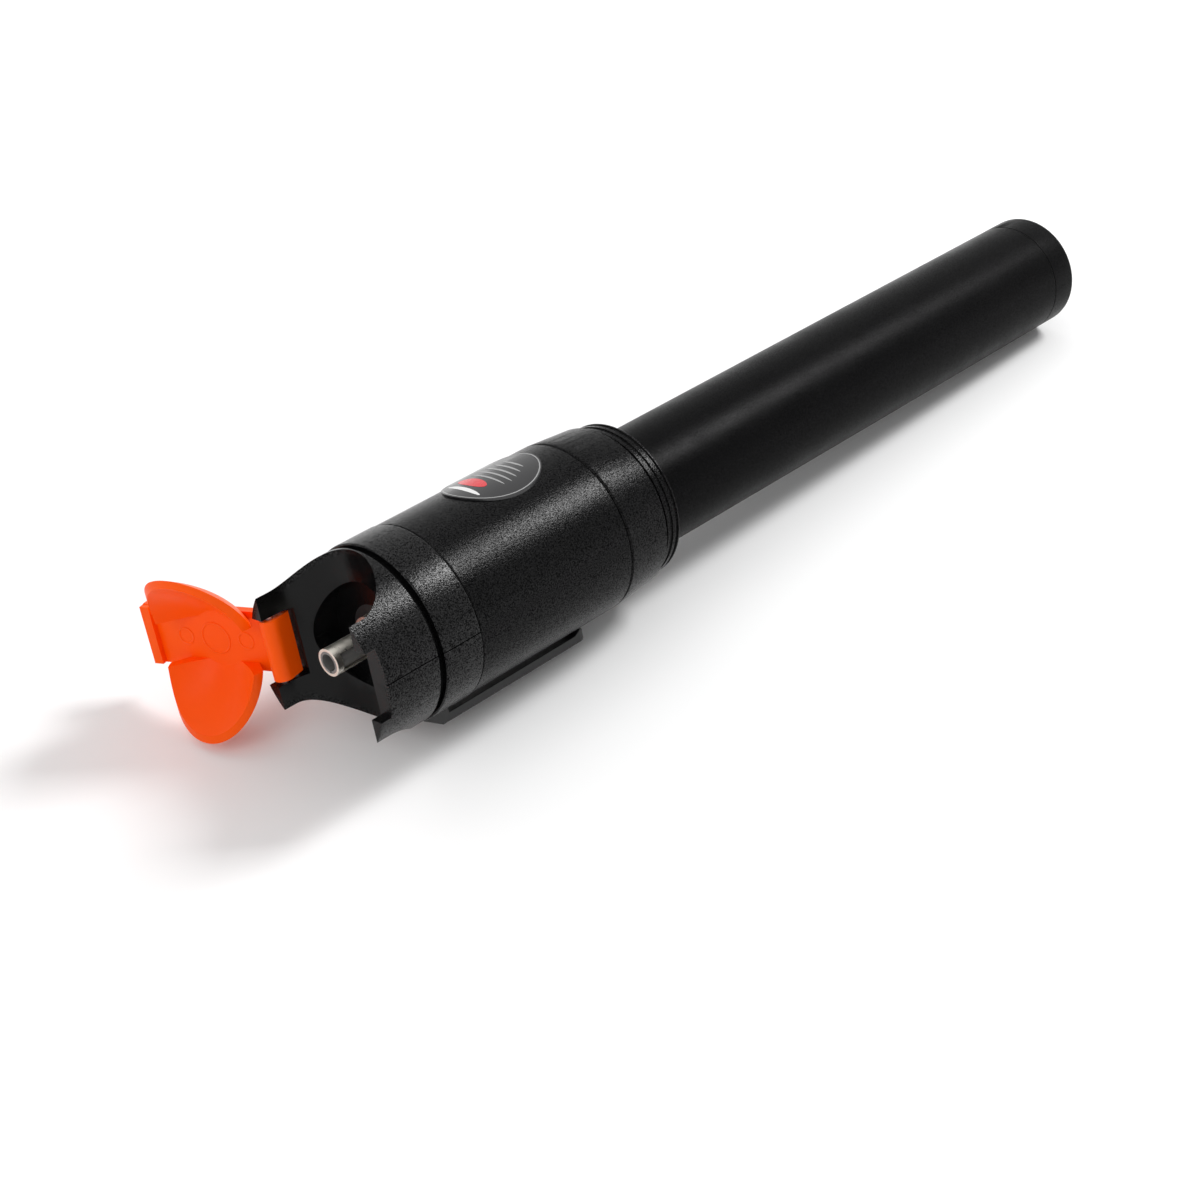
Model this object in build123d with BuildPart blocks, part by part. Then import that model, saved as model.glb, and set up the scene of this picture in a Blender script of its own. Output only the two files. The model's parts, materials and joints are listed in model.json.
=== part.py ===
"""Visual fault locator: a pen-shaped fibre tester with a hinged dust cap, a pocket clip and two cells.

Millimetres. +X points out of the nose along the pen's axis, +Z is the label side, the clip is below.
The origin is the centre of the ferrule port's mouth.
"""
from build123d import *
import os
from math import sqrt

os.makedirs("parts", exist_ok=True)

# Head and nose
head_radius = 13.0
head_length = 28.8
head_wall = 1.3
nose_step = 0.1
nose_length = 17.8
port_depth = 2.2
collar_length = 6.6
collar_step = 0.1
groove_width = 0.8
groove_depth = 0.7
spigot_length = 8.0
spigot_wall = 1.8
bulkhead_length = 7.0
cavity_radius = 8.2
edge_round = 0.5
parting_width = 0.16
parting_depth = 0.2

# Scoops that open the nose above and below, and the two jaws that they leave
jaw_thickness = 3.1
scoop_depth = 10.0
notch_half_height = 5.0
latch_notch_depth = 1.6
round_share = 0.8

# Dust cap
hinge_back = 1.8
hinge_inset = 2.2
pin_radius = 0.6
pin_grip = 1.2
pin_clearance = 0.05
barrel_radius = 1.4
cap_open_angle = 163.6
band_half_height = 4.5
band_thickness = 1.2
band_gap = 1.1
latch_depth = 2.5
latch_wall = 1.5
latch_clearance = 0.25
swing_clearance = 0.25
slit_width = 0.8
slit_half_height = 3.0
latch_half_height = 4.4
tongue_side_gap = 1.7
tongue_length = 8.6
tongue_wall = 1.2
tongue_front_radius = 5.4
tongue_inset = 0.5
tongue_bulge = 0.5

# Ferrule port and optics
ferrule_bore = 2.5
sleeve_wall = 0.35
sleeve_slit = 0.3
port_radius = 2.0
port_ring_length = 1.0
port_window_land = 1.8
port_window_width = 2.4
port_flange_radius = 3.2
port_flange_length = 1.2
laser_radius = 4.5
laser_length = 16.0
diode_radius = 2.8
diode_length = 3.4
diode_flange = 1.2
diode_flange_radius = 4.0
lens_radius = 2.0
beam_radius = 0.8
lens_length = 2.4

# Electronics and switch
board_lap = 1.5
board_thickness = 1.2
switch_length = 9.0
switch_height = 4.0
switch_depth = 4.4
switch_slot_length = 11.0
switch_slot_width = 3.6
knob_length = 4.4
knob_width = 2.8
knob_proud = 0.9
knob_inset = 0.9
switch_gap = 0.4
switch_setback = 13.0

# Battery tube, rear collar and tail
rear_collar_length = 11.1
rear_collar_step = 0.6
rear_ring_step = 1.2
ring_count = 3
ring_pitch = 1.1
ring_groove = 0.45
tube_wall = 1.25
tube_seat = 5.0
tube_clearance = 0.02
cell_radius = 7.25
cell_length = 50.5
cell_nub_radius = 2.7
cell_nub_length = 1.2
cell_clearance = 0.75
contact_margin = 0.35
contact_clearance = 0.1
contact_inset = 0.1
contact_thickness = 0.8
insulator_thickness = 1.0
tail_cap_length = 5.5
tail_spigot_length = 5.6
tail_clearance = 0.3
oring_section = 0.6
spring_wire = 0.4
tail_wall = 1.1
spring_turns = 4
spring_reach = 1.6

# Pocket clip and label
clip_half_width = 3.5
clip_gap = 0.9
clip_thickness = 1.3
clip_rear_reach = 26.0
clip_root_length = 4.4
clip_root_start = 0.9
clip_seat_depth = 0.8
clip_bump_height = 0.6
clip_front_slope = 3.0
label_centre_back = 17.5
label_half_length = 7.7
label_half_width = 6.1
label_thickness = 0.25

# Cuts overshoot the surface, and edges are picked just inside a radius
overcut = 1.0
pick_margin = 0.01

# Radii and widths that follow from the sizes above
spigot_radius = head_radius - head_wall
nose_radius = head_radius - nose_step
collar_radius = head_radius + collar_step
rear_collar_radius = head_radius - rear_collar_step
rear_ring_radius = head_radius - rear_ring_step
hinge_side = nose_radius - hinge_inset
pin_half_length = notch_half_height + pin_grip
scoop_half_width = nose_radius - jaw_thickness
tongue_half_width = scoop_half_width - tongue_side_gap
tongue_rear_radius = nose_radius - tongue_inset
tube_radius = cell_radius + cell_clearance + tube_wall
contact_radius = cell_radius + contact_margin
tail_spigot_radius = tube_radius - tube_wall - tail_clearance
tail_pocket_radius = tail_spigot_radius - 2 * oring_section - tail_wall

# Stations along the axis, measured from the port's mouth
tip_x = port_depth
seam_x = tip_x - nose_length
groove_x = seam_x + collar_length
bulkhead_x = seam_x + bulkhead_length
rear_seam_x = seam_x - head_length
tube_exit_x = rear_seam_x - rear_collar_length
tube_front_x = tube_exit_x + tube_seat
cell_front_x = rear_seam_x + contact_inset
cell_rear_x = cell_front_x - 2 * cell_length
tail_seam_x = cell_rear_x - spring_reach - tail_spigot_length
tail_end_x = tail_seam_x - tail_cap_length
hinge_x = tip_x - hinge_back
band_back_x = tip_x - latch_notch_depth + band_gap
band_front_x = band_back_x + band_thickness
swing_radius = sqrt((band_front_x - hinge_x) ** 2 + barrel_radius**2)
hinge_notch_depth = hinge_back + swing_radius + swing_clearance
clip_inner_z = -(head_radius + clip_gap)
clip_outer_z = clip_inner_z - clip_thickness
hinge_axis = Axis((hinge_x, -hinge_side, 0), (0, 0, 1))


def ring(front, rear, outer, inner):
    """A plain tube along X, revolved from its half section."""
    with BuildPart() as tube:
        with BuildSketch(Plane.XY):
            with Locations(((front + rear) / 2, (outer + inner) / 2)):
                Rectangle(front - rear, outer - inner)
        revolve(axis=Axis.X)
    return tube.part


def save(part, name):
    """Label a finished piece and write its STEP file."""
    part.label = name
    export_step(part, f"parts/{name}.step")


# Aluminium sleeve of the head, with the slot of the slide switch on its far side
with BuildPart() as head_sleeve:
    with BuildSketch(Plane.XY):
        with Locations(((seam_x + rear_seam_x) / 2, head_radius - head_wall / 2)):
            Rectangle(head_length, head_wall)
    revolve(axis=Axis.X)
    rims = head_sleeve.edges().filter_by(GeomType.CIRCLE).group_by(SortBy.RADIUS)[-1]
    chamfer(rims, edge_round / 2)
    with BuildSketch(Plane.XZ.offset(head_radius - 2 * head_wall)):
        with Locations((seam_x - switch_setback, 0)):
            SlotOverall(switch_slot_length, switch_slot_width)
    extrude(amount=3 * head_wall, mode=Mode.SUBTRACT)
save(head_sleeve.part, "head_sleeve")

# Moulded collar and nose, made whole and then parted on the plane of the axis
with BuildPart() as nose:
    with BuildSketch(Plane.XY):
        with BuildLine():
            Polyline(
                (seam_x - spigot_length, spigot_radius - spigot_wall),
                (seam_x - spigot_length, spigot_radius),
                (seam_x, spigot_radius),
                (seam_x, collar_radius),
                (groove_x, collar_radius),
                (groove_x, nose_radius - groove_depth),
                (groove_x + groove_width, nose_radius - groove_depth),
                (groove_x + groove_width, nose_radius),
                (tip_x, nose_radius),
                (tip_x, cavity_radius),
                (bulkhead_x, cavity_radius),
                (bulkhead_x, laser_radius),
                (seam_x, laser_radius),
                (seam_x, spigot_radius - spigot_wall),
                close=True,
            )
        make_face()
    revolve(axis=Axis.X)
    rims = nose.edges().filter_by(GeomType.CIRCLE).filter_by(lambda e: e.radius > nose_radius - pick_margin)
    fillet(rims.filter_by(lambda e: e.center().X < tip_x - overcut), edge_round / 2)
    # The scoop's plan is a U that is open to the front, with a half-ellipse at its rear end
    with BuildSketch(Plane.XY):
        with Locations((tip_x - scoop_depth * (1 - round_share), 0)):
            Ellipse(scoop_depth * round_share, scoop_half_width)
        with Locations((tip_x, 0)):
            Rectangle(2 * scoop_depth * (1 - round_share), 2 * scoop_half_width)
    extrude(amount=nose_radius + overcut, both=True, mode=Mode.SUBTRACT)
    # The notches let the cap's band and hinge barrel into the jaws
    with BuildSketch(Plane.XZ):
        with Locations((tip_x, 0)):
            Rectangle(2 * latch_notch_depth, 2 * notch_half_height)
    extrude(amount=-nose_radius - overcut, mode=Mode.SUBTRACT)
    with BuildSketch(Plane.XZ):
        with Locations((tip_x, 0)):
            Rectangle(2 * hinge_notch_depth, 2 * notch_half_height)
    extrude(amount=nose_radius + overcut, mode=Mode.SUBTRACT)
    with BuildSketch(Plane.XY):
        with Locations((hinge_x, -hinge_side)):
            Circle(pin_radius + pin_clearance)
    extrude(amount=pin_half_length + 2 * pin_clearance, both=True, mode=Mode.SUBTRACT)
    # Seat of the clip's root on the underside of the collar
    with BuildSketch(Plane.XY.offset(-collar_radius - overcut)):
        with Locations((seam_x + clip_root_start + clip_root_length / 2, 0)):
            Rectangle(clip_root_length, 2 * clip_half_width)
    extrude(amount=overcut + clip_seat_depth, mode=Mode.SUBTRACT)
    # A fine groove marks the parting line on both sides
    with BuildSketch(Plane.XY):
        with Locations(((seam_x + tip_x) / 2, nose_radius), ((seam_x + tip_x) / 2, -nose_radius)):
            Rectangle(nose_length, 2 * parting_depth + 2 * (collar_radius - nose_radius))
    extrude(amount=parting_width / 2, both=True, mode=Mode.SUBTRACT)

with BuildPart() as nose_upper_half:
    add(nose.part)
    split(bisect_by=Plane.XY, keep=Keep.TOP)
save(nose_upper_half.part, "nose_upper_half")

with BuildPart() as nose_lower_half:
    add(nose.part)
    split(bisect_by=Plane.XY, keep=Keep.BOTTOM)
save(nose_lower_half.part, "nose_lower_half")

# Dust cap, drawn shut over the nose and then swung open about its hinge
latch_side = sqrt(nose_radius**2 - latch_half_height**2)
tongue_rear_x = band_front_x - tongue_length
latch_back_x = tip_x - latch_notch_depth + latch_clearance
with BuildPart() as dust_cap:
    # Spoon-like tongues: a domed shell of revolution trimmed to a rounded U, above and below the band
    with BuildSketch(Plane.XY):
        with BuildLine():
            front = (band_front_x, tongue_front_radius)
            rear = (tongue_rear_x, tongue_rear_radius)
            outer = SagittaArc(front, rear, -tongue_bulge)
            inner = SagittaArc(
                (tongue_rear_x, tongue_rear_radius - tongue_wall),
                (band_front_x - tongue_wall, tongue_front_radius - tongue_wall),
                tongue_bulge,
            )
            Line(outer @ 1, inner @ 0)
            Polyline(inner @ 1, (band_front_x, tongue_front_radius - tongue_wall), front)
        make_face()
    revolve(axis=Axis.X)
    with BuildSketch(Plane.XY):
        with Locations((tongue_rear_x + tongue_half_width * round_share, 0)):
            Ellipse(tongue_half_width * round_share, tongue_half_width)
        with Locations((band_front_x, 0)):
            Rectangle(2 * (tongue_length - tongue_half_width * round_share), 2 * tongue_half_width)
    extrude(amount=head_radius, both=True, mode=Mode.INTERSECT)
    with BuildSketch(Plane.XZ):
        with Locations((0, 0)):
            Rectangle(4 * tongue_length, 2 * (band_half_height - tongue_wall))
    extrude(amount=head_radius, both=True, mode=Mode.SUBTRACT)
    # Band from the hinge barrel to the latch wall
    with BuildSketch(Plane.XY):
        with Locations(((band_back_x + band_front_x) / 2, (latch_side - hinge_side) / 2)):
            Rectangle(band_thickness, latch_side + hinge_side)
    extrude(amount=band_half_height, both=True)
    with BuildSketch(Plane.XY):
        with Locations((latch_back_x + latch_depth / 2, latch_side - latch_wall / 2)):
            Rectangle(latch_depth, latch_wall)
    extrude(amount=latch_half_height, both=True)
    # A slit beside the barrel keeps the hinge strap thin
    with BuildSketch(Plane.YZ):
        with Locations((slit_width + barrel_radius - hinge_side, 0)):
            Rectangle(slit_width, 2 * slit_half_height)
    extrude(amount=2 * band_front_x, mode=Mode.SUBTRACT)
    # Hinge barrel, with a neck that joins it to the band
    with BuildSketch(Plane.XY):
        with Locations((hinge_x, -hinge_side)):
            Circle(barrel_radius)
        with Locations(((hinge_x + band_front_x) / 2, -hinge_side)):
            Rectangle(band_front_x - hinge_x, 2 * barrel_radius)
    extrude(amount=band_half_height, both=True)
    with BuildSketch(Plane.XY):
        with Locations((hinge_x, -hinge_side)):
            Circle(pin_radius + pin_clearance)
    extrude(amount=head_radius, both=True, mode=Mode.SUBTRACT)
save(dust_cap.part.rotate(hinge_axis, -cap_open_angle), "dust_cap")

with BuildPart() as hinge_pin:
    with BuildSketch(Plane.XY):
        with Locations((hinge_x, -hinge_side)):
            Circle(pin_radius)
    extrude(amount=pin_half_length, both=True)
save(hinge_pin.part, "hinge_pin")

# Ferrule port: a nickel tube with side windows, standing on a flange against the bulkhead
flange_x = bulkhead_x + port_flange_length
port_window_length = -flange_x - port_ring_length - port_window_land
with BuildPart() as connector_shell:
    with BuildSketch(Plane.XY):
        with BuildLine():
            Polyline(
                (bulkhead_x, ferrule_bore / 2 + sleeve_wall),
                (bulkhead_x, port_flange_radius),
                (flange_x, port_flange_radius),
                (flange_x, port_radius),
                (0, port_radius),
                (0, ferrule_bore / 2 + sleeve_wall),
                close=True,
            )
        make_face()
    revolve(axis=Axis.X)
    with BuildSketch(Plane.XZ):
        with Locations((-port_ring_length - port_window_length / 2, 0)):
            Rectangle(port_window_length, port_window_width)
    extrude(amount=port_radius + overcut, both=True, mode=Mode.SUBTRACT)
save(connector_shell.part, "connector_shell")

# Split sleeve that grips the ferrule
with BuildPart() as split_sleeve:
    with BuildSketch(Plane.YZ.offset(bulkhead_x)):
        Circle(ferrule_bore / 2 + sleeve_wall)
        Circle(ferrule_bore / 2, mode=Mode.SUBTRACT)
        with Locations((0, -port_radius)):
            Rectangle(sleeve_slit, 2 * port_radius, mode=Mode.SUBTRACT)
    extrude(amount=-bulkhead_x)
save(split_sleeve.part, "split_sleeve")

# Brass laser barrel behind the port, with its lens and diode
laser_rear_x = bulkhead_x - laser_length
diode_front_x = laser_rear_x + diode_length
lens_front_x = bulkhead_x - laser_length / 3
with BuildPart() as laser_housing:
    with BuildSketch(Plane.XY):
        with BuildLine():
            Polyline(
                (laser_rear_x, diode_radius),
                (laser_rear_x, laser_radius),
                (bulkhead_x, laser_radius),
                (bulkhead_x, beam_radius),
                (lens_front_x, beam_radius),
                (lens_front_x, lens_radius),
                (diode_front_x, lens_radius),
                (diode_front_x, diode_radius),
                close=True,
            )
        make_face()
    revolve(axis=Axis.X)
save(laser_housing.part, "laser_housing")

with BuildPart() as lens:
    with BuildSketch(Plane.YZ.offset(lens_front_x - lens_length)):
        Circle(lens_radius)
    extrude(amount=lens_length)
save(lens.part, "lens")

with BuildPart() as laser_diode:
    with BuildSketch(Plane.YZ.offset(laser_rear_x - diode_flange)):
        Circle(diode_flange_radius)
    extrude(amount=diode_flange)
    with BuildSketch(Plane.YZ.offset(laser_rear_x)):
        Circle(diode_radius)
    extrude(amount=diode_length)
save(laser_diode.part, "laser_diode")

# Driver board across the head, and the slide switch at its edge
board_front_x = laser_rear_x - diode_flange
board_rear_x = cell_front_x + contact_thickness + insulator_thickness
switch_x = seam_x - switch_setback
knob_base = spigot_radius - knob_inset
switch_inner = knob_base - switch_gap - switch_depth
board_width = 2 * (switch_inner + board_lap)
with BuildPart() as driver_board:
    with BuildSketch(Plane.XY.offset(-board_thickness / 2)):
        with Locations(((board_front_x + board_rear_x) / 2, 0)):
            Rectangle(board_front_x - board_rear_x, board_width)
        with Locations((switch_x, -board_width / 2)):
            Rectangle(switch_length + switch_gap, 2 * (board_width / 2 - switch_inner), mode=Mode.SUBTRACT)
    extrude(amount=board_thickness)
save(driver_board.part, "driver_board")

with BuildPart() as switch_body:
    with BuildSketch(Plane.XZ.offset(switch_inner)):
        with Locations((switch_x, 0)):
            Rectangle(switch_length, switch_height)
    extrude(amount=switch_depth)
save(switch_body.part, "switch_body")

with BuildPart() as switch_knob:
    with BuildSketch(Plane.XZ.offset(knob_base)):
        with Locations((switch_x, 0)):
            Rectangle(knob_length, knob_width)
    extrude(amount=head_radius + knob_proud - knob_base)
    top = switch_knob.faces().sort_by(Axis.Y)[0]
    fillet(top.edges(), edge_round / 2)
save(switch_knob.part, "switch_knob")

# Stepped collar between the head and the battery tube
with BuildPart() as rear_collar:
    with BuildSketch(Plane.XY):
        with BuildLine():
            Polyline(
                (tube_exit_x, tube_radius + tube_clearance),
                (tube_exit_x, rear_ring_radius),
                (tube_exit_x + ring_count * ring_pitch, rear_ring_radius),
                (tube_exit_x + ring_count * ring_pitch, rear_collar_radius),
                (rear_seam_x - edge_round / 2, head_radius),
                (rear_seam_x, head_radius - edge_round / 2),
                (rear_seam_x, spigot_radius),
                (rear_seam_x + tube_seat, spigot_radius),
                (rear_seam_x + tube_seat, contact_radius + contact_clearance),
                (tube_front_x, contact_radius + contact_clearance),
                (tube_front_x, tube_radius + tube_clearance),
                close=True,
            )
        make_face()
    revolve(axis=Axis.X)
    for step in range(ring_count):
        with BuildSketch(Plane.XY):
            with Locations((tube_exit_x + (step + 0.5) * ring_pitch, rear_ring_radius)):
                Rectangle(ring_groove, ring_groove)
        revolve(axis=Axis.X, mode=Mode.SUBTRACT)
save(rear_collar.part, "rear_collar")

save(ring(tube_front_x, tail_seam_x, tube_radius, tube_radius - tube_wall), "battery_tube")

# Two cells nose to tail, a contact plate and its insulator in front of them
for name, front in (("front_cell", cell_front_x), ("rear_cell", cell_front_x - cell_length)):
    with BuildPart() as cell:
        with BuildSketch(Plane.YZ.offset(front - cell_length)):
            Circle(cell_radius)
        extrude(amount=cell_length - cell_nub_length)
        fillet(cell.edges().filter_by(GeomType.CIRCLE), edge_round)
        with BuildSketch(Plane.YZ.offset(front - cell_nub_length)):
            Circle(cell_nub_radius)
        extrude(amount=cell_nub_length)
    save(cell.part, name)

with BuildPart() as contact_plate:
    with BuildSketch(Plane.YZ.offset(cell_front_x)):
        Circle(contact_radius)
    extrude(amount=contact_thickness)
save(contact_plate.part, "contact_plate")

with BuildPart() as insulator:
    with BuildSketch(Plane.YZ.offset(cell_front_x + contact_thickness)):
        Circle(contact_radius)
        Circle(cell_nub_radius, mode=Mode.SUBTRACT)
    extrude(amount=insulator_thickness)
save(insulator.part, "insulator")

# Tail cap with its spigot, seal and spring
oring_x = tail_seam_x + tail_spigot_length / 2
with BuildPart() as tail_cap:
    with BuildSketch(Plane.XY):
        with BuildLine():
            Polyline(
                (tail_end_x, 0),
                (tail_end_x, tube_radius),
                (tail_seam_x, tube_radius),
                (tail_seam_x, tail_spigot_radius),
                (oring_x - oring_section, tail_spigot_radius),
                (oring_x - oring_section, tail_spigot_radius - 2 * oring_section),
                (oring_x + oring_section, tail_spigot_radius - 2 * oring_section),
                (oring_x + oring_section, tail_spigot_radius),
                (tail_seam_x + tail_spigot_length, tail_spigot_radius),
                (tail_seam_x + tail_spigot_length, tail_pocket_radius),
                (tail_seam_x, tail_pocket_radius),
                (tail_seam_x, 0),
                close=True,
            )
        make_face()
    revolve(axis=Axis.X)
    rims = tail_cap.edges().filter_by(GeomType.CIRCLE).filter_by(lambda e: e.radius > tube_radius - pick_margin)
    fillet(rims.sort_by(Axis.X)[0], 2 * edge_round)
save(tail_cap.part, "tail_cap")

tail_seal = ring(oring_x + oring_section, oring_x - oring_section, tail_spigot_radius,
                 tail_spigot_radius - 2 * oring_section)
save(tail_seal, "tail_seal")

spring_length = cell_rear_x - tail_seam_x
with BuildPart() as tail_spring:
    with BuildLine():
        coil = Helix(
            pitch=(spring_length - 2 * spring_wire) / spring_turns,
            height=spring_length - 2 * spring_wire,
            radius=tail_pocket_radius - 2 * spring_wire,
            center=(tail_seam_x + spring_wire, 0, 0),
            direction=(1, 0, 0),
        )
    with BuildSketch(Plane(coil @ 0, z_dir=coil % 0)):
        Circle(spring_wire)
    sweep(path=coil)
save(tail_spring.part, "tail_spring")

# Pocket clip: a sprung strip below the head, with its root seated in the collar
clip_root_x = seam_x + clip_root_start
clip_rear_x = seam_x - clip_rear_reach
clip_seat_z = -collar_radius + clip_seat_depth
with BuildPart() as pocket_clip:
    with BuildSketch(Plane.XZ):
        with BuildLine():
            Polyline(
                (clip_rear_x, clip_outer_z),
                (clip_root_x + clip_root_length - clip_front_slope, clip_outer_z),
                (clip_root_x + clip_root_length, clip_seat_z - clip_gap),
                (clip_root_x + clip_root_length, clip_seat_z),
                (clip_root_x, clip_seat_z),
                (clip_root_x, clip_inner_z),
                (clip_rear_x + 4 * clip_bump_height, clip_inner_z),
                (clip_rear_x + 2 * clip_bump_height, clip_inner_z + clip_bump_height),
                (clip_rear_x, clip_inner_z),
                close=True,
            )
        make_face()
    extrude(amount=clip_half_width, both=True)
    fillet(pocket_clip.edges().filter_by(Axis.Z).sort_by(Axis.X)[:2], clip_half_width / 2)
save(pocket_clip.part, "pocket_clip")

# Oval label plate, curved to the head
with BuildPart() as label_plate:
    with BuildSketch(Plane.XY):
        with Locations((seam_x - label_centre_back, 0)):
            Ellipse(label_half_length, label_half_width)
    extrude(amount=2 * head_radius)
    with BuildSketch(Plane.YZ.offset(rear_seam_x)):
        Circle(head_radius + label_thickness)
        Circle(head_radius, mode=Mode.SUBTRACT)
    extrude(amount=head_length, mode=Mode.INTERSECT)
save(label_plate.part, "label_plate")
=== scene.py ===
"""Looks of a visual fault locator: a black fibre tester pen with an open orange dust cap on a pale floor."""
import json
from math import pi, radians, sqrt

import bmesh
import bpy
import numpy as np
from bpy.props import FloatProperty, FloatVectorProperty, PointerProperty
from mathutils import Matrix, Vector


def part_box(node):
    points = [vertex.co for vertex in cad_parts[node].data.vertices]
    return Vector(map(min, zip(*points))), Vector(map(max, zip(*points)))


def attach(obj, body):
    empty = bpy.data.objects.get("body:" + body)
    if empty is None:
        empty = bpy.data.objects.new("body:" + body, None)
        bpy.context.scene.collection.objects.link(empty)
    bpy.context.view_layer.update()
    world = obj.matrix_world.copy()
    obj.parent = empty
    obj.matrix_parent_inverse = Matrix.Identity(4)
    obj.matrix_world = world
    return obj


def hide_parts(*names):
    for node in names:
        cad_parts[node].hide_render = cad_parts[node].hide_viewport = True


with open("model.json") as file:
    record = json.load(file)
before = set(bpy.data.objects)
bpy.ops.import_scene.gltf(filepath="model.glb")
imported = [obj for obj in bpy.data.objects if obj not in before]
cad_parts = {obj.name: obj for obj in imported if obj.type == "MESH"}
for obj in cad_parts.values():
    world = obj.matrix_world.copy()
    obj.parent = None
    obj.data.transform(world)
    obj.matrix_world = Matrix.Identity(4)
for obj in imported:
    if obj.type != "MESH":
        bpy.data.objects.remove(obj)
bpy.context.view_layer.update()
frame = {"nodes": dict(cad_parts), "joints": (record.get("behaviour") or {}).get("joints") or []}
MM = 0.001

bl_info = {
    "name": "Fibre tester pen",
    "version": (1, 0, 0),
    "blender": (4, 5, 0),
    "location": "View3D > Sidebar > Tester pen",
    "description": "Dresses the packed pen with grained black metal, moulded plastic, nickel and orange",
    "category": "Object",
}

# Camera of the photograph, in the pen's own frame
CAMERA_PLACE = Vector((0.1510, 0.2306, 0.1259))
CAMERA_RIGHT = Vector((-0.6907, 0.7017, -0.1749))
CAMERA_UP = Vector((-0.4115, -0.1824, 0.8930))
CAMERA_BACK = Vector((0.5947, 0.6887, 0.4147))
CAMERA_LENS = 69.0
SENSOR_WIDTH = 36.0
VIEW_NEAR, VIEW_FAR = 0.01, 20.0

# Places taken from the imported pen
NODES = frame["nodes"]
HINGE = next(joint for joint in frame["joints"] if joint["name"] == "cap_hinge")
HEAD_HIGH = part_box("head_sleeve")[1]
TAIL_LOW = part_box("tail_cap")[0]
CLIP_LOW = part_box("pocket_clip")[0]
LABEL_LOW, LABEL_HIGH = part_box("label_plate")
HEAD_RADIUS = HEAD_HIGH.z

# Meshes: distances and angles at which points merge, faces join, shading breaks and edges are rounded
NODE_WELD = 0.002 * MM
GRID_WELD = 0.0005 * MM
FLAT_ANGLE = radians(0.5)
SHARP_ANGLE = radians(28)
ROUNDED_ANGLE = radians(35)
PORT_EDGE = 0.06 * MM

# Finishes: the noise values at which a grain or a cloud reaches its low and its high
GRAIN_LIMITS = (0.36, 0.64)
CLOUD_LIMITS = (0.3, 0.7)

# Grains across one cloud of roughness, and how far the roughness drifts
CLOUD_GRAINS = 40
ROUGHNESS_DRIFT = 0.05

# Pitch of turned rings, and the radians by which a wave texture turns for each unit of its scale
RING_PITCH = 1.57 * MM
WAVE_RATE = 20.0

# Depths below the head's surface between which the nose turns from grained to smooth
NOSE_GRAINED, NOSE_SMOOTH = 0.5 * MM, 1.2 * MM

# Colours of the small pieces
LABEL_BLACK = (0.012, 0.012, 0.013)
PORT_SLEEVE = (0.16, 0.155, 0.15)
PIN_STEEL = (0.5, 0.5, 0.5)
BRIGHT_STEEL = (0.6, 0.6, 0.6)
BRASS = (0.72, 0.5, 0.2)
DARK_PLASTIC = (0.04, 0.04, 0.04)
SOFT_BLACK = (0.02, 0.02, 0.02)
LENS_BLUE = (0.7, 0.8, 0.9)
BOARD_GREEN = (0.02, 0.16, 0.05)
CELL_JACKET = (0.25, 0.25, 0.27)

# Ejector marks on the shut cap's inner face: place along the band and radius of each
CAP_FACE = 1.7 * MM
MARK_WIDTH, MARK_HEIGHT = 0.16 * MM, 0.10 * MM
EJECTOR_MARKS = {
    "mark_middle": (0.6 * MM, 2.3 * MM),
    "mark_hinge_side": (-4.6 * MM, 1.2 * MM),
    "mark_latch_side": (5.8 * MM, 1.2 * MM),
}

# Label: places from its middle and half sizes, along the pen and round it
LABEL_MIDDLE = (LABEL_LOW.x + LABEL_HIGH.x) / 2
FIELD_RADIUS = LABEL_HIGH.z + 0.02 * MM
RED_PLACE, RED_HALF = (3.0 * MM, -0.6 * MM), (1.15 * MM, 2.7 * MM)
BAR_PLACE, BAR_HALF = (5.2 * MM, 0.0), (0.45 * MM, 3.2 * MM)
RIM_HALF, RIM_WIDTH = (7.4 * MM, 5.9 * MM), 0.16 * MM
LINE_FIRST, LINE_PITCH, LINE_SHIFT = 0.9 * MM, 1.25 * MM, 0.2 * MM
LINE_HALF_THICKNESS = 0.2 * MM
LINE_HALF_WIDTHS = (3.4 * MM, 3.6 * MM, 3.2 * MM, 2.7 * MM, 2.0 * MM)

# Stage: the floor glows to white between two distances from the pen
FLOOR_LIFT = 0.6
FLOOR_NEAR, FLOOR_FAR = 0.12, 0.30
FLOOR_ROLL = -0.25
FLOOR_GAP = 0.1 * MM
WORLD_LIGHT = 0.58
WHITE = (1.0, 1.0, 1.0, 1.0)


class PenSizes(bpy.types.PropertyGroup):
    """Sizes that a user would change."""

    edge: FloatProperty(
        name="Edge", description="Rounding of moulded edges", default=0.12 * MM, unit="LENGTH")
    grain: FloatProperty(
        name="Grain", description="Size of one grain of the blasted finish", default=0.20 * MM, unit="LENGTH")
    tube_grain: FloatProperty(
        name="Tube grain", description="Grain of the battery tube", default=0.16 * MM, unit="LENGTH")
    floor: FloatProperty(
        name="Floor", description="Half side of the floor", default=3.0, unit="LENGTH")


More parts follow.
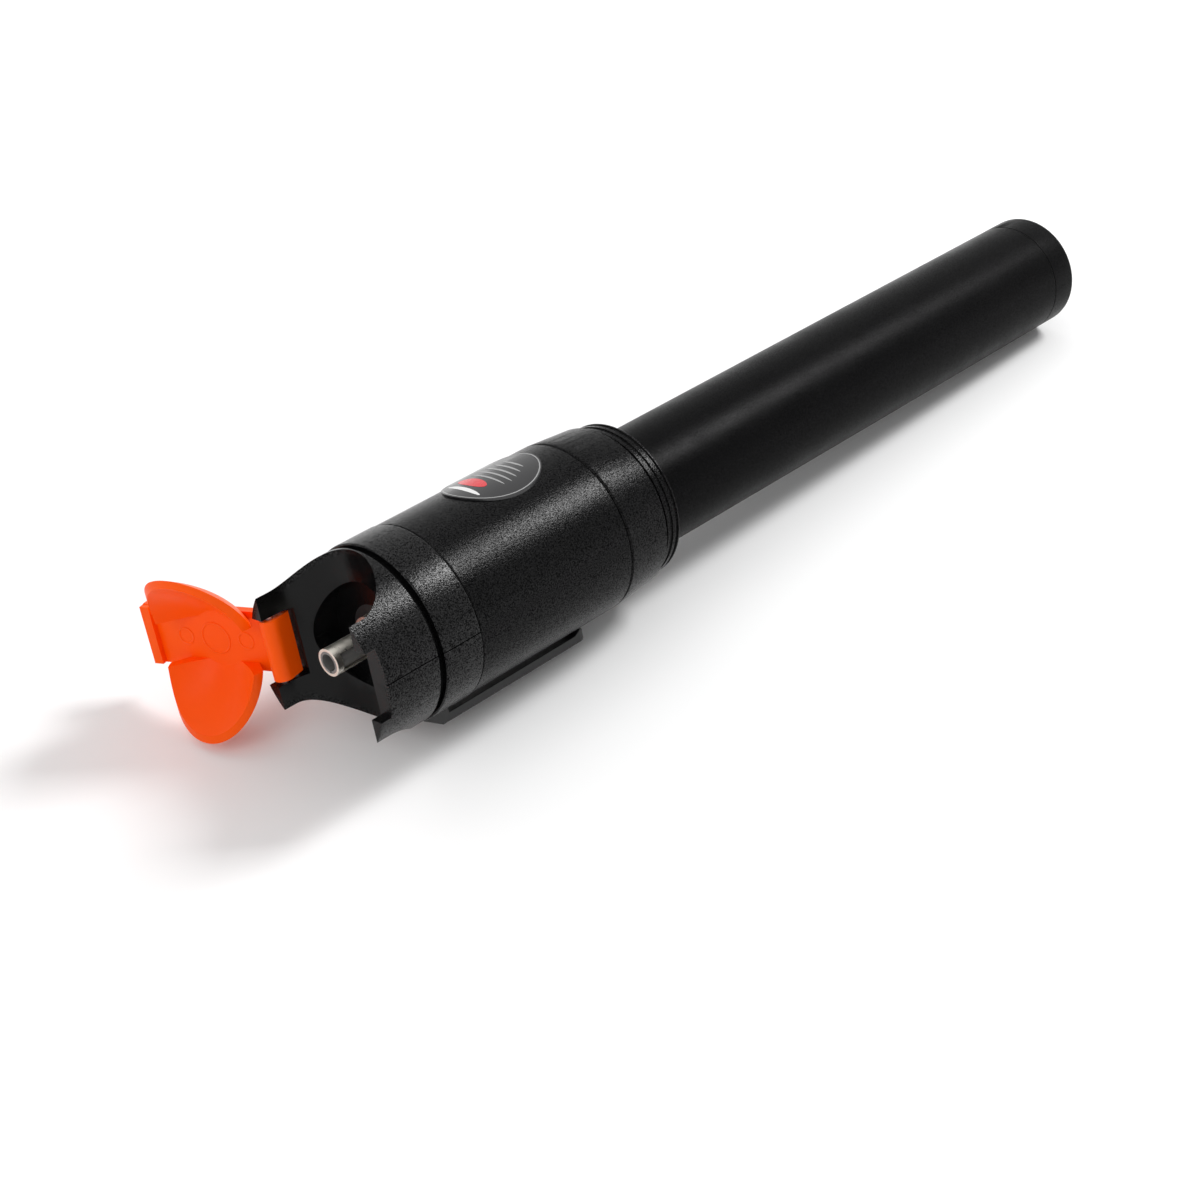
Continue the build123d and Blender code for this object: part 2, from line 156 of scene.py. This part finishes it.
class PenColours(bpy.types.PropertyGroup):
    """Colours that a user would change."""

    black: FloatVectorProperty(
        name="Black", description="Head, nose and tube", default=(0.0016, 0.0016, 0.0018), subtype="COLOR")
    orange: FloatVectorProperty(
        name="Orange", description="Dust cap", default=(1.0, 0.095, 0.0), subtype="COLOR")
    nickel: FloatVectorProperty(
        name="Nickel", description="Ferrule port", default=(0.78, 0.74, 0.66), subtype="COLOR")
    red: FloatVectorProperty(
        name="Red", description="Red field of the label", default=(0.62, 0.02, 0.03), subtype="COLOR")
    pale: FloatVectorProperty(
        name="Pale", description="Pale bar of the label", default=(0.72, 0.72, 0.72), subtype="COLOR")
    grey: FloatVectorProperty(
        name="Grey", description="Fine lines and rim of the label", default=(0.3, 0.3, 0.3), subtype="COLOR")
    floor: FloatVectorProperty(
        name="Floor", description="Pale floor", default=(0.92, 0.92, 0.92), subtype="COLOR")


def sizes():
    return bpy.context.scene.pen_sizes


def colours():
    return bpy.context.scene.pen_colours


class Shader:
    """A node material with short helpers for the patterns that the finishes share."""

    def __init__(self, name, colour, roughness, metallic=0.0, specular=0.5):
        self.material = bpy.data.materials.new(name)
        self.material.use_nodes = True
        self.tree = self.material.node_tree
        self.principled = self.tree.nodes["Principled BSDF"]
        self.set("Base Color", (*colour, 1.0))
        self.set("Roughness", roughness)
        self.set("Metallic", metallic)
        self.set("Specular IOR Level", specular)
        self.place = self.node("ShaderNodeTexCoord").outputs["Object"]

    def set(self, socket, value):
        self.principled.inputs[socket].default_value = value

    def node(self, kind, **inputs):
        made = self.tree.nodes.new(kind)
        for name, value in inputs.items():
            made.inputs[name].default_value = value
        return made

    def link(self, output, target):
        self.tree.links.new(output, target)

    def drive(self, output, socket):
        self.link(output, self.principled.inputs[socket])

    def noise(self, size, detail=2.0):
        made = self.node("ShaderNodeTexNoise", Scale=1.0 / size, Detail=detail, Roughness=0.6)
        self.link(self.place, made.inputs["Vector"])
        return made.outputs["Fac"]

    def ramp(self, source, limits, results):
        """The source, stretched from its limits to the results and held there."""
        made = self.node("ShaderNodeMapRange")
        for name, value in zip(("From Min", "From Max", "To Min", "To Max"), (*limits, *results)):
            made.inputs[name].default_value = value
        self.link(source, made.inputs["Value"])
        return made.outputs["Result"]

    def radius(self):
        """Distance from the pen's axis."""
        flat = self.node("ShaderNodeVectorMath")
        flat.operation = "MULTIPLY"
        flat.inputs[1].default_value = (0.0, 1.0, 1.0)
        self.link(self.place, flat.inputs[0])
        length = self.node("ShaderNodeVectorMath")
        length.operation = "LENGTH"
        self.link(flat.outputs["Vector"], length.inputs[0])
        return length.outputs["Value"]

    def distance(self, centre):
        """Distance from a point."""
        made = self.node("ShaderNodeVectorMath")
        made.operation = "DISTANCE"
        made.inputs[1].default_value = centre
        self.link(self.place, made.inputs[0])
        return made.outputs["Value"]

    def glints(self, size, gloss, where=None):
        """Gloss that differs from grain to grain and sparkles, and is even where the mask is 0."""
        uneven = self.ramp(self.noise(size, detail=1.0), GRAIN_LIMITS, gloss)
        if where is not None:
            mix = self.node("ShaderNodeMix")
            mix.inputs["A"].default_value = sum(gloss) / 2
            self.link(where, mix.inputs["Factor"])
            self.link(uneven, mix.inputs["B"])
            uneven = mix.outputs["Result"]
        self.drive(uneven, "Specular IOR Level")

    def uneven_roughness(self, cloud, low, high):
        self.drive(self.ramp(cloud, CLOUD_LIMITS, (low, high)), "Roughness")

    def bump(self, height, depth, strength=None):
        """Relief of a given depth, at full strength or at the strength of a mask."""
        made = self.node("ShaderNodeBump", Strength=1.0, Distance=depth)
        self.link(height, made.inputs["Height"])
        if strength is not None:
            self.link(strength, made.inputs["Strength"])
        self.drive(made.outputs["Normal"], "Normal")


def grained_black(name, grain, depth, roughness, gloss):
    """Blasted black metal: a fine even grain that sparkles, with slightly uneven roughness."""
    shader = Shader(name, colours().black, roughness)
    shader.bump(shader.noise(grain), depth)
    shader.glints(grain, gloss)
    cloud = shader.noise(CLOUD_GRAINS * grain, detail=3.0)
    shader.uneven_roughness(cloud, roughness - ROUGHNESS_DRIFT, roughness + ROUGHNESS_DRIFT)
    return shader.material


def moulded_black(name):
    """Moulded black plastic: grained outside, and smooth on the faces inside the nose."""
    shader = Shader(name, colours().black, roughness=0.22)
    radii = (HEAD_RADIUS - NOSE_SMOOTH, HEAD_RADIUS - NOSE_GRAINED)
    outside = shader.ramp(shader.radius(), radii, (0.0, 1.0))
    shader.glints(sizes().grain, gloss=(0.02, 0.32), where=outside)
    shader.bump(shader.noise(sizes().grain), depth=0.03 * MM, strength=outside)
    return shader.material


def moulded_orange(name):
    """Semi-gloss orange plastic that lets a little light in, with faint flow marks."""
    shader = Shader(name, colours().orange, roughness=0.36, specular=0.12)
    shader.set("Subsurface Weight", 0.06)
    shader.set("Subsurface Radius", (1.0, 0.25, 0.05))
    shader.set("Subsurface Scale", 1.5 * MM)
    shader.uneven_roughness(shader.noise(2.5 * MM, detail=3.0), low=0.32, high=0.44)
    shader.bump(shader.noise(1.2 * MM), depth=0.02 * MM)
    return shader.material


def turned_metal(name, colour, roughness):
    """Turned metal: fine rings round the pen's axis."""
    shader = Shader(name, colour, roughness, metallic=1.0)
    scale = 2 * pi / (WAVE_RATE * RING_PITCH)
    rings = shader.node("ShaderNodeTexWave", Scale=scale, Distortion=0.6, Detail=1.0)
    rings.bands_direction = "X"
    shader.link(shader.place, rings.inputs["Vector"])
    shader.bump(rings.outputs["Fac"], depth=0.004 * MM)
    shader.uneven_roughness(shader.noise(0.8 * MM), roughness, roughness + 0.12)
    return shader.material


def speckled(name, colour, roughness, metallic=0.0, size=0.6 * MM):
    """A plain finish with a faint cloud of rougher and smoother spots."""
    shader = Shader(name, colour, roughness, metallic)
    cloud = shader.noise(size)
    shader.uneven_roughness(cloud, roughness - 0.04, roughness + 0.06)
    shader.bump(cloud, depth=0.01 * MM)
    return shader.material


def seen_rays(tree):
    """1 for rays from the camera and for what shows in reflections and through glass, else 0."""
    path = tree.nodes.new("ShaderNodeLightPath")
    seen = path.outputs["Is Camera Ray"]
    for name in ("Is Glossy Ray", "Is Transmission Ray"):
        larger = tree.nodes.new("ShaderNodeMath")
        larger.operation = "MAXIMUM"
        tree.links.new(seen, larger.inputs[0])
        tree.links.new(path.outputs[name], larger.inputs[1])
        seen = larger.outputs["Value"]
    return seen


def dress(node, material):
    """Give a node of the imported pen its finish, with its mesh left as it is."""
    NODES[node].data.materials.clear()
    NODES[node].data.materials.append(material)


def finish_mesh(name, mesh, material, body):
    """Link a finished mesh, smoothly shaded, as a piece of the pen that rides on a body."""
    mesh.polygons.foreach_set("use_smooth", np.ones(len(mesh.polygons), dtype=bool))
    piece = bpy.data.objects.new(name, mesh)
    bpy.context.scene.collection.objects.link(piece)
    mesh.materials.append(material)
    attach(piece, body)
    return piece


def weld(mesh, gap, flat_angle=0.0):
    """Merge points closer than the gap, and faces that lie in one plane to within the angle."""
    work = bmesh.new()
    work.from_mesh(mesh)
    bmesh.ops.remove_doubles(work, verts=work.verts, dist=gap)
    if flat_angle:
        bmesh.ops.dissolve_limit(work, angle_limit=flat_angle, verts=work.verts, edges=work.edges)
    work.to_mesh(mesh)
    work.free()


def merged_copy(node, name, material, body, edge=0.0):
    """The node's own surface with its doubles merged, smooth across its curves and rounded at its edges."""
    mesh = NODES[node].data.copy()
    mesh.materials.clear()
    weld(mesh, NODE_WELD, FLAT_ANGLE)
    piece = finish_mesh(name, mesh, material, body)
    mesh.set_sharp_from_angle(angle=SHARP_ANGLE)
    if edge:
        rounding = piece.modifiers.new("edge", "BEVEL")
        rounding.width = edge
        rounding.segments = 2
        rounding.limit_method = "ANGLE"
        rounding.angle_limit = ROUNDED_ANGLE
        rounding.harden_normals = True
    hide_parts(node)
    return piece


def round_grid(across, columns):
    """Grids of the values across a ring and of the angle round it, indexed (row, column)."""
    return np.meshgrid(across, np.linspace(0, 2 * np.pi, columns, endpoint=False), indexing="ij")


def round_surface(name, points, material, body):
    """A piece from a grid of points in metres, whose last column joins the first."""
    rows, columns = points.shape[:2]
    index = np.arange(rows * columns).reshape(rows, columns)
    index = np.hstack([index, index[:, :1]])
    corners = [index[:-1, :-1], index[:-1, 1:], index[1:, 1:], index[1:, :-1]]
    mesh = bpy.data.meshes.new(name)
    mesh.from_pydata(points.reshape(-1, 3), [], np.stack(corners, axis=-1).reshape(-1, 4))
    weld(mesh, GRID_WELD)
    return finish_mesh(name, mesh, material, body)


def on_label(name, x, arc, material):
    """A piece on the label: x along the pen from the label's middle, and the arc wrapped round the head."""
    angle = arc / HEAD_RADIUS
    points = np.stack([LABEL_MIDDLE + x, FIELD_RADIUS * np.sin(angle), FIELD_RADIUS * np.cos(angle)], axis=-1)
    return round_surface(name, points, material, "pen")


def label_field(name, place, half_size, material):
    """An oval field: point (s, t) lies at x = px + s a cos t, arc = py + s b sin t."""
    s, t = round_grid(np.linspace(0, 1, 10), columns=64)
    x = place[0] + s * half_size[0] * np.cos(t)
    arc = place[1] + s * half_size[1] * np.sin(t)
    return on_label(name, x, arc, material)


def label_rim(name, half_size, width, material):
    """An oval ring: point (s, t) lies at x = (a + s w) cos t, arc = (b + s w) sin t, for |s| up to 1/2."""
    s, t = round_grid(np.linspace(-0.5, 0.5, 4), columns=39)
    x = (half_size[0] + s * width) * np.cos(t)
    arc = (half_size[1] + s * width) * np.sin(t)
    return on_label(name, x, arc, material)


def swung_open(points):
    """Points drawn on the shut cap, turned about the hinge to where the cap rests open."""
    angle = -radians(HINGE["range_deg"][1])
    centre = np.array(HINGE["pos_m"])
    turn = np.array([(np.cos(angle), -np.sin(angle), 0), (np.sin(angle), np.cos(angle), 0), (0, 0, 1)])
    return (points - centre) @ turn.T + centre


def ejector_mark(name, along, radius, material):
    """A low round ridge that a mould's ejector leaves on the band's inner face.

    Point (s, t) is on a ring: distance radius + w cos s from the centre, height h sin s above the face.
    """
    s, t = round_grid(np.linspace(np.pi, 0, 7), columns=64)
    reach = radius + MARK_WIDTH * np.cos(s)
    x = CAP_FACE - MARK_HEIGHT * np.sin(s)
    points = np.stack([x, along + reach * np.cos(t), reach * np.sin(t)], axis=-1)
    return round_surface(name, swung_open(points), material, "cap")


class PEN_OT_head(bpy.types.Operator):
    """Dress the head sleeve and the stepped collar behind it"""

    bl_idname = "pen.head"
    bl_label = "Head"

    def execute(self, context):
        black = grained_black(
            "blasted_black", sizes().grain, depth=0.03 * MM, roughness=0.22, gloss=(0.02, 0.16))
        merged_copy("head_sleeve", "sleeve_skin", black, "pen", sizes().edge)
        merged_copy("rear_collar", "collar_skin", black, "pen", sizes().edge)
        return {"FINISHED"}


class PEN_OT_nose(bpy.types.Operator):
    """Dress the two moulded halves of the nose"""

    bl_idname = "pen.nose"
    bl_label = "Nose"

    def execute(self, context):
        plastic = moulded_black("moulded_black")
        for half in ("upper", "lower"):
            node, skin = f"nose_{half}_half", f"nose_{half}_skin"
            merged_copy(node, skin, plastic, "pen", sizes().edge)
        return {"FINISHED"}


class PEN_OT_tube(bpy.types.Operator):
    """Dress the battery tube and the tail cap"""

    bl_idname = "pen.tube"
    bl_label = "Tube"

    def execute(self, context):
        black = grained_black(
            "tube_black", sizes().tube_grain, depth=0.02 * MM, roughness=0.33, gloss=(0.02, 0.055))
        merged_copy("battery_tube", "tube_skin", black, "pen", sizes().edge)
        merged_copy("tail_cap", "tail_skin", black, "tail", sizes().edge)
        return {"FINISHED"}


class PEN_OT_cap(bpy.types.Operator):
    """Dress the dust cap and its hinge pin"""

    bl_idname = "pen.cap"
    bl_label = "Dust cap"

    def execute(self, context):
        orange = moulded_orange("moulded_orange")
        merged_copy("dust_cap", "cap_skin", orange, "cap", 2 * sizes().edge)
        for name, (along, radius) in EJECTOR_MARKS.items():
            ejector_mark(name, along, radius, orange)
        dress("hinge_pin", speckled("pin_steel", PIN_STEEL, roughness=0.3, metallic=1.0))
        return {"FINISHED"}


class PEN_OT_port(bpy.types.Operator):
    """Dress the ferrule port and its split sleeve"""

    bl_idname = "pen.port"
    bl_label = "Ferrule port"

    def execute(self, context):
        nickel = turned_metal("nickel", colours().nickel, roughness=0.26)
        merged_copy("connector_shell", "port_skin", nickel, "pen", PORT_EDGE)
        sleeve = speckled("port_sleeve", PORT_SLEEVE, roughness=0.35)
        merged_copy("split_sleeve", "sleeve_lining", sleeve, "pen")
        return {"FINISHED"}


class PEN_OT_clip(bpy.types.Operator):
    """Dress the pocket clip and the knob of the slide switch"""

    bl_idname = "pen.clip"
    bl_label = "Clip and switch"

    def execute(self, context):
        plastic = speckled("clip_black", colours().black, roughness=0.42)
        merged_copy("pocket_clip", "clip_skin", plastic, "pen", 2 * sizes().edge)
        merged_copy("switch_knob", "knob_skin", plastic, "switch", sizes().edge)
        return {"FINISHED"}


class PEN_OT_label(bpy.types.Operator):
    """Dress the oval label with plain fields of colour"""

    bl_idname = "pen.label"
    bl_label = "Label"

    def execute(self, context):
        gloss = speckled("label_gloss", LABEL_BLACK, roughness=0.16, size=4.0 * MM)
        merged_copy("label_plate", "label_skin", gloss, "pen")
        red = speckled("label_red", colours().red, roughness=0.25, size=3.0 * MM)
        pale = speckled("label_pale", colours().pale, roughness=0.3, size=3.0 * MM)
        grey = speckled("label_grey", colours().grey, roughness=0.3, size=3.0 * MM)
        label_field("label_red_oval", RED_PLACE, RED_HALF, red)
        label_rim("label_rim", RIM_HALF, RIM_WIDTH, grey)
        label_field("label_pale_bar", BAR_PLACE, BAR_HALF, pale)
        for row, half_width in enumerate(LINE_HALF_WIDTHS):
            place = (LINE_FIRST - LINE_PITCH * row, LINE_SHIFT)
            label_field(f"label_line_{row}", place, (LINE_HALF_THICKNESS, half_width), grey)
        return {"FINISHED"}


class PEN_OT_inside(bpy.types.Operator):
    """Give the pieces inside the pen their finishes"""

    bl_idname = "pen.inside"
    bl_label = "Inside"

    def execute(self, context):
        steel = speckled("bright_steel", BRIGHT_STEEL, roughness=0.28, metallic=1.0)
        dark = speckled("dark_plastic", DARK_PLASTIC, roughness=0.5)
        jacket = speckled("cell_jacket", CELL_JACKET, roughness=0.35, metallic=0.6)
        finishes = {
            "laser_housing": speckled("laser_black", SOFT_BLACK, roughness=0.4, metallic=0.5),
            "contact_plate": turned_metal("turned_brass", BRASS, roughness=0.25),
            "laser_diode": steel,
            "tail_spring": steel,
            "lens": speckled("lens_glass", LENS_BLUE, roughness=0.08),
            "driver_board": speckled("board_green", BOARD_GREEN, roughness=0.45),
            "switch_body": dark,
            "insulator": dark,
            "tail_seal": speckled("seal_rubber", SOFT_BLACK, roughness=0.7),
            "front_cell": jacket,
            "rear_cell": jacket,
        }
        for node, material in finishes.items():
            dress(node, material)
        return {"FINISHED"}


class PEN_OT_stage(bpy.types.Operator):
    """Set the camera, the pale floor and the soft light"""

    bl_idname = "pen.stage"
    bl_label = "Stage"

    def camera(self, scene):
        data = bpy.data.cameras.new("photo_camera")
        data.lens = CAMERA_LENS
        data.sensor_width = SENSOR_WIDTH
        data.clip_start = VIEW_NEAR
        data.clip_end = VIEW_FAR
        camera = bpy.data.objects.new("photo_camera", data)
        turn = Matrix((CAMERA_RIGHT, CAMERA_UP, CAMERA_BACK)).transposed()
        camera.matrix_world = Matrix.Translation(CAMERA_PLACE) @ turn.to_4x4()
        scene.collection.objects.link(camera)
        scene.camera = camera

    def clear_from_below(self, shader):
        """Let the camera look through the sheet's underside."""
        mix = shader.node("ShaderNodeMixShader")
        shader.link(shader.node("ShaderNodeNewGeometry").outputs["Backfacing"], mix.inputs["Fac"])
        shader.link(shader.principled.outputs["BSDF"], mix.inputs[1])
        shader.link(shader.node("ShaderNodeBsdfTransparent").outputs["BSDF"], mix.inputs[2])
        shader.link(mix.outputs["Shader"], shader.tree.nodes["Material Output"].inputs["Surface"])

    def floor_finish(self):
        """Matt and pale, with a glow away from the pen that only the camera, reflections and glass see."""
        shader = Shader("floor", colours().floor, roughness=0.9, specular=0.1)
        shader.bump(shader.noise(8 * MM), depth=0.01 * MM)
        away = shader.distance((CLIP_LOW.x, 0.0, CLIP_LOW.z))
        glow = shader.node("ShaderNodeMath")
        glow.operation = "MULTIPLY"
        shader.link(shader.ramp(away, (FLOOR_NEAR, FLOOR_FAR), (0.0, FLOOR_LIFT)), glow.inputs[0])
        shader.link(seen_rays(shader.tree), glow.inputs[1])
        shader.set("Emission Color", WHITE)
        shader.drive(glow.outputs["Value"], "Emission Strength")
        self.clear_from_below(shader)
        return shader.material

    def floor(self, scene):
        """A flat sheet on which the pen lies, rolled towards the open cap.

        The plane z = c + rise x + FLOOR_ROLL y touches the clip's rear corner and the round of the tail.
        """
        clip = CLIP_LOW.z - FLOOR_ROLL * CLIP_LOW.y
        tail = TAIL_LOW.z * sqrt(1 + FLOOR_ROLL**2)
        rise = (tail - clip) / (TAIL_LOW.x - CLIP_LOW.x)
        half = sizes().floor
        corners = np.array([(-half, -half), (half, -half), (half, half), (-half, half)])
        heights = clip + rise * (corners[:, 0] - CLIP_LOW.x) + FLOOR_ROLL * corners[:, 1] - FLOOR_GAP
        mesh = bpy.data.meshes.new("floor")
        mesh.from_pydata(np.column_stack([corners, heights]), [], [(0, 1, 2, 3)])
        mesh.materials.append(self.floor_finish())
        floor = bpy.data.objects.new("floor", mesh)
        scene.collection.objects.link(floor)

    def world(self, scene):
        """White to the camera, in reflections and through glass, and a plain soft light on the surfaces."""
        world = bpy.data.worlds.new("studio")
        world.use_nodes = True
        tree = world.node_tree
        background = tree.nodes["Background"]
        level = tree.nodes.new("ShaderNodeMapRange")
        level.inputs["To Min"].default_value = WORLD_LIGHT
        level.inputs["To Max"].default_value = 1.0
        tree.links.new(seen_rays(tree), level.inputs["Value"])
        tree.links.new(level.outputs["Result"], background.inputs["Strength"])
        background.inputs["Color"].default_value = WHITE
        scene.world = world

    def lamp(self, scene, name, place, aim, power, size):
        data = bpy.data.lights.new(name, "AREA")
        data.energy = power
        data.size = size
        lamp = bpy.data.objects.new(name, data)
        place = Vector(place)
        turn = (place - Vector(aim)).to_track_quat("Z", "Y").to_matrix().to_4x4()
        lamp.matrix_world = Matrix.Translation(place) @ turn
        scene.collection.objects.link(lamp)

    def execute(self, context):
        scene = context.scene
        scene.view_settings.view_transform = "Standard"
        self.camera(scene)
        self.floor(scene)
        self.world(scene)
        middle = ((TAIL_LOW.x + HEAD_HIGH.x) / 2, 0.0, 0.0)
        nose = (0.0, 0.0, 0.0)
        self.lamp(scene, "key", place=(-0.55, 0.36, 0.55), aim=middle, power=4.5, size=0.22)
        self.lamp(scene, "top", place=(0.05, -0.25, 0.8), aim=middle, power=0.8, size=0.6)
        self.lamp(scene, "front", place=(0.50, 0.10, 0.35), aim=nose, power=0.8, size=0.35)
        return {"FINISHED"}


OPERATORS = (
    PEN_OT_head, PEN_OT_nose, PEN_OT_tube, PEN_OT_cap, PEN_OT_port, PEN_OT_clip, PEN_OT_label,
    PEN_OT_inside, PEN_OT_stage)


class PEN_PT_sidebar(bpy.types.Panel):
    """Lists the pen's pieces and its sizes and colours"""

    bl_idname = "PEN_PT_sidebar"
    bl_label = "Tester pen"
    bl_space_type = "VIEW_3D"
    bl_region_type = "UI"
    bl_category = "Tester pen"

    def draw(self, context):
        for operator in OPERATORS:
            self.layout.operator(operator.bl_idname)
        for group in (context.scene.pen_sizes, context.scene.pen_colours):
            for name in group.__annotations__:
                self.layout.prop(group, name)


CLASSES = (PenSizes, PenColours, *OPERATORS, PEN_PT_sidebar)


def register():
    for cls in CLASSES:
        bpy.utils.register_class(cls)
    bpy.types.Scene.pen_sizes = PointerProperty(type=PenSizes)
    bpy.types.Scene.pen_colours = PointerProperty(type=PenColours)


def unregister():
    del bpy.types.Scene.pen_colours
    del bpy.types.Scene.pen_sizes
    for cls in reversed(CLASSES):
        bpy.utils.unregister_class(cls)


def main():
    register()
    bpy.ops.pen.head()
    bpy.ops.pen.nose()
    bpy.ops.pen.tube()
    bpy.ops.pen.cap()
    bpy.ops.pen.port()
    bpy.ops.pen.clip()
    bpy.ops.pen.label()
    bpy.ops.pen.inside()
    bpy.ops.pen.stage()


if __name__ == "__main__":
    main()
